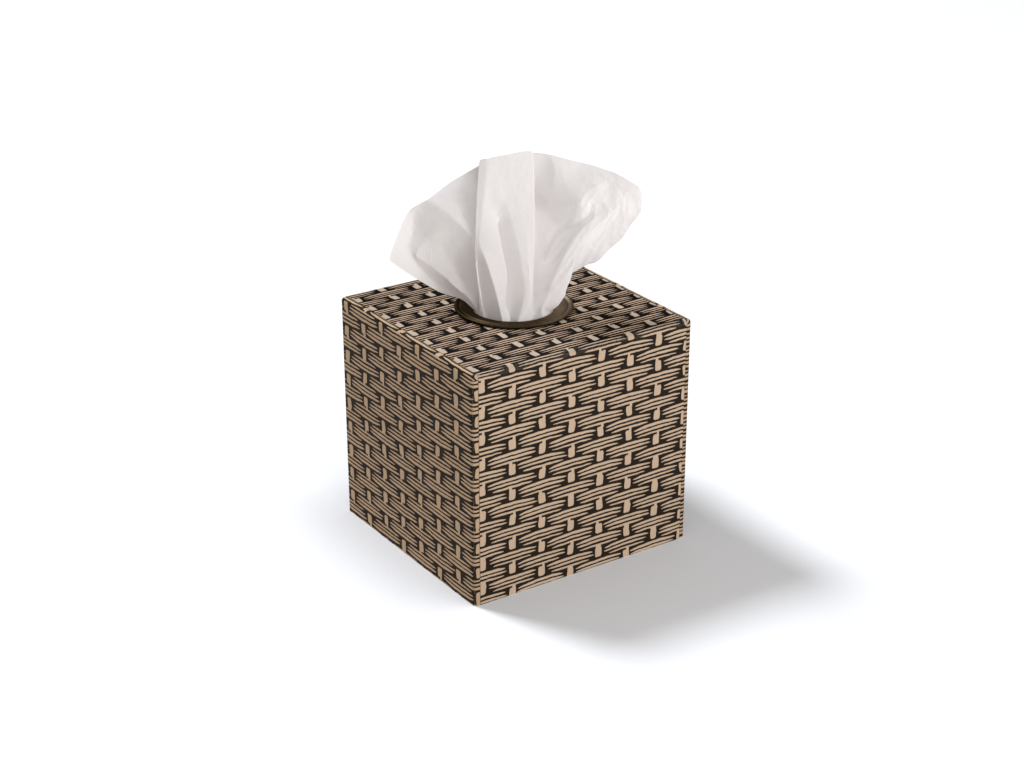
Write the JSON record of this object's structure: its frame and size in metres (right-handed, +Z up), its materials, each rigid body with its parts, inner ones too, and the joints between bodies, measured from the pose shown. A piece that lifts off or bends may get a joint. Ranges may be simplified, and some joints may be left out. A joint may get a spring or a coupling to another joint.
{
  "type": "tissue box cover",
  "caption": "Papered board cover with a basket weave print and a dark metal mouth ring, stood over a carton of tissues, with one tissue pulled up through the ring.",
  "frame": {"origin": "middle of the floor that the cover stands on, under the middle of the mouth", "axes": "+Z up through the mouth, -Y the front with the strip's upright weave, -X the left side sheet"},
  "size_m": [0.14, 0.1344, 0.2249],
  "materials": {
    "greyboard": "plain grey box board, matte",
    "weave_paper": "printed paper, tan basket weave on near black, faint satin",
    "bronze": "dark bronze patina, satin",
    "carton_card": "plain folding card, matte",
    "tissue_paper": "soft white two-ply tissue, lightly embossed at the edges"
  },
  "bodies": {
    "root": {"front_board": "greyboard", "back_board": "greyboard", "left_board": "greyboard", "right_board": "greyboard", "top_board": "greyboard", "wrap_paper": "weave_paper", "left_paper": "weave_paper", "right_paper": "weave_paper", "mouth_ring": "bronze", "tissue_carton": "carton_card", "tissue_stack": "tissue_paper", "popped_tissue": "tissue_paper"}
  },
  "joints": []
}
